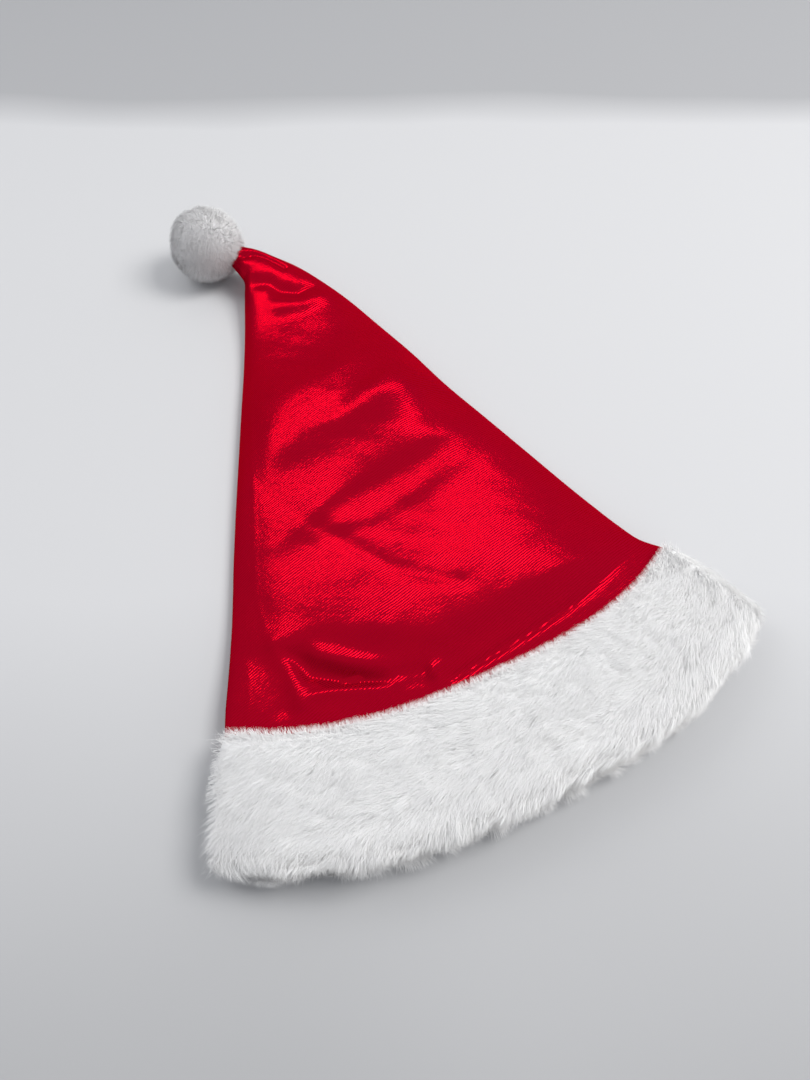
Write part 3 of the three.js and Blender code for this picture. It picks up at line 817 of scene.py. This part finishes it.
def pompom_strands(count, seed, finish):
    """Strands all over the pompom, lying over to the left and down."""
    random = np.random.default_rng(seed)
    way = random.standard_normal((count, 3))
    way /= np.linalg.norm(way, axis=1, keepdims=True)
    down = np.full(count, -0.5)
    lean = np.stack([-0.5 - 0.4 * way[:, 1], 0.4 * way[:, 0] - 0.2, down], 1)
    lean += 0.28 * random.standard_normal((count, 3))
    lean -= (lean * way).sum(1, keepdims=True) * way
    middle = way + MIDDLE_LEAN * lean
    tip = way + TIP_LEAN * lean * (0.6 + 0.8 * random.random((count, 1)))
    middle /= np.linalg.norm(middle, axis=1, keepdims=True)
    tip /= np.linalg.norm(tip, axis=1, keepdims=True)
    roots = pompom_surface(way, np.full(count, 0.8))
    middles = pompom_surface(middle, 0.94 + 0.03 * random.random(count))
    tips = pompom_surface(tip, 0.97 + 0.1 * random.random(count))
    side = np.cross(tips - roots, way) + 0.3 * random.standard_normal((count, 3))
    width = 0.15 + 0.09 * random.random(count)
    return strand_mesh("pompom_strands", roots, middles, tips, side, width, way, finish)


# The photo's camera: its focal length and the photo's long side in pixels, its place in
# millimetres from the seam point, and the way that it looks
FOCAL_PIXELS = 811
LONG_SIDE_PIXELS = 1080
SENSOR_WIDTH = 36
CAMERA_PLACE = (-109.0, -500.3, 397.5)
CAMERA_FORWARD = (0.2343, 0.4980, -0.8349)


def face(thing, forward):
    """Turn a camera or a light to look one way."""
    thing.rotation_mode = "QUATERNION"
    thing.rotation_quaternion = Vector(forward).to_track_quat("-Z", "Y")


def set_camera():
    """The photo's view: from above and in front, turned to the right."""
    data = bpy.data.cameras.new("camera")
    data.sensor_fit = "AUTO"
    data.sensor_width = SENSOR_WIDTH
    data.lens = SENSOR_WIDTH * FOCAL_PIXELS / LONG_SIDE_PIXELS
    data.clip_start = 0.01
    camera = bpy.data.objects.new("camera", data)
    bpy.context.scene.collection.objects.link(camera)
    camera.location = Vector((np.array(CAMERA_PLACE) + SEAM_POINT) * MM)
    face(camera, CAMERA_FORWARD)
    bpy.context.scene.camera = camera


# Lights, in metres and watts: the far one shows only in the cloth's shine, and the others light the
# scene without showing in that shine
LIGHT_COLUMNS = ("name", "place", "size", "power", "colour", "hidden_from")
LIGHTS = (
    ("far_light", (0.16, 0.62, 0.72), (1.15, 0.11), 3.3, (1, 0.9, 0.7), "visible_diffuse"),
    ("left_light", (-0.7, 0.8, 1.2), (0.8, 0.8), 4, (1, 1, 1), "visible_glossy"),
    ("right_light", (1.25, -0.4, 1.7), (1.0, 1.0), 29.5, (1, 0.985, 0.96), "visible_glossy"),
)
LIT_POINT = Vector((0, -0.02, 0.01))

# The room's own light: the way it brightens, and its colour at places from dim to bright
BRIGHTER_WAY = (0.3, 0.75, 0.1)
ROOM_STOPS = (
    (0.1, (0.34, 0.345, 0.355)),
    (0.55, (0.62, 0.63, 0.655)),
    (1.0, (0.62, 0.63, 0.655)),
)


def set_lights():
    """The lights, which face the hat, and the room's own light."""
    for row in LIGHTS:
        light_row = dict(zip(LIGHT_COLUMNS, row))
        data = bpy.data.lights.new(light_row["name"], "AREA")
        data.shape = "RECTANGLE"
        data.size, data.size_y = light_row["size"]
        data.energy = light_row["power"]
        data.color = light_row["colour"]
        light = bpy.data.objects.new(light_row["name"], data)
        bpy.context.scene.collection.objects.link(light)
        light.location = light_row["place"]
        face(light, LIT_POINT - Vector(light_row["place"]))
        setattr(light, light_row["hidden_from"], False)
    world = bpy.data.worlds.new("room")
    world.use_nodes = True
    room = Finish.of_tree(world.node_tree)
    way = room.node("ShaderNodeTexCoord", output="Generated")
    towards = room.node(
        "ShaderNodeVectorMath", {"operation": "DOT_PRODUCT"}, {0: way, 1: BRIGHTER_WAY},
        output="Value",
    )
    colour = room.ramp(towards * 0.5 + 0.5, ROOM_STOPS)
    glow = room.node("ShaderNodeBackground", {}, {"Color": colour})
    room.node("ShaderNodeOutputWorld", {}, {"Surface": glow})
    bpy.context.scene.world = world
    bpy.context.scene.view_settings.view_transform = "Standard"


# Half the side of the surface, and how far it lies below the hat, in metres
SURFACE_SIDE = 3.0
SURFACE_DROP = 0.0004


def make_floor():
    """The surface that the hat lies on, which isn't part of it."""
    mesh = bpy.data.meshes.new("surface")
    corners = [
        (x * SURFACE_SIDE, y * SURFACE_SIDE, -SURFACE_DROP)
        for x, y in ((-1, -1), (1, -1), (1, 1), (-1, 1))
    ]
    mesh.from_pydata(corners, [], [(0, 1, 2, 3)])
    floor = bpy.data.objects.new("surface", mesh)
    bpy.context.scene.collection.objects.link(floor)
    mesh.materials.append(pale_surface())


set_camera()
set_lights()
make_floor()

crown = make_crown()
band = make_band()
pompom = make_pompom()
band_fibre = plush_strands("band_fibre", (0.985, 0.985, 0.98), (0.96, 0.96, 0.965))
strands = [
    band_strands("band_strands_right", 62000, first=-0.04, last=0.24, seed=21, finish=band_fibre),
    band_strands("band_strands_left", 64000, first=0.24, last=0.54, seed=22, finish=band_fibre),
    band_strands("band_strands_under", 44000, first=0.54, last=0.96, seed=23, finish=band_fibre),
]
pompom_fibre = plush_strands("pompom_fibre", (0.985, 0.98, 0.985), (0.93, 0.925, 0.93))
ball_strands = pompom_strands(34000, seed=31, finish=pompom_fibre)

for piece, node, slot in (
    (crown, "crown", "crown_cloth"),
    (band, "fur_band", "band_plush"),
    (pompom, "pompom", "pompom_plush"),
):
    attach(piece, "root")
    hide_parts(node)
for piece in strands:
    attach(piece, "root")
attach(ball_strands, "root")
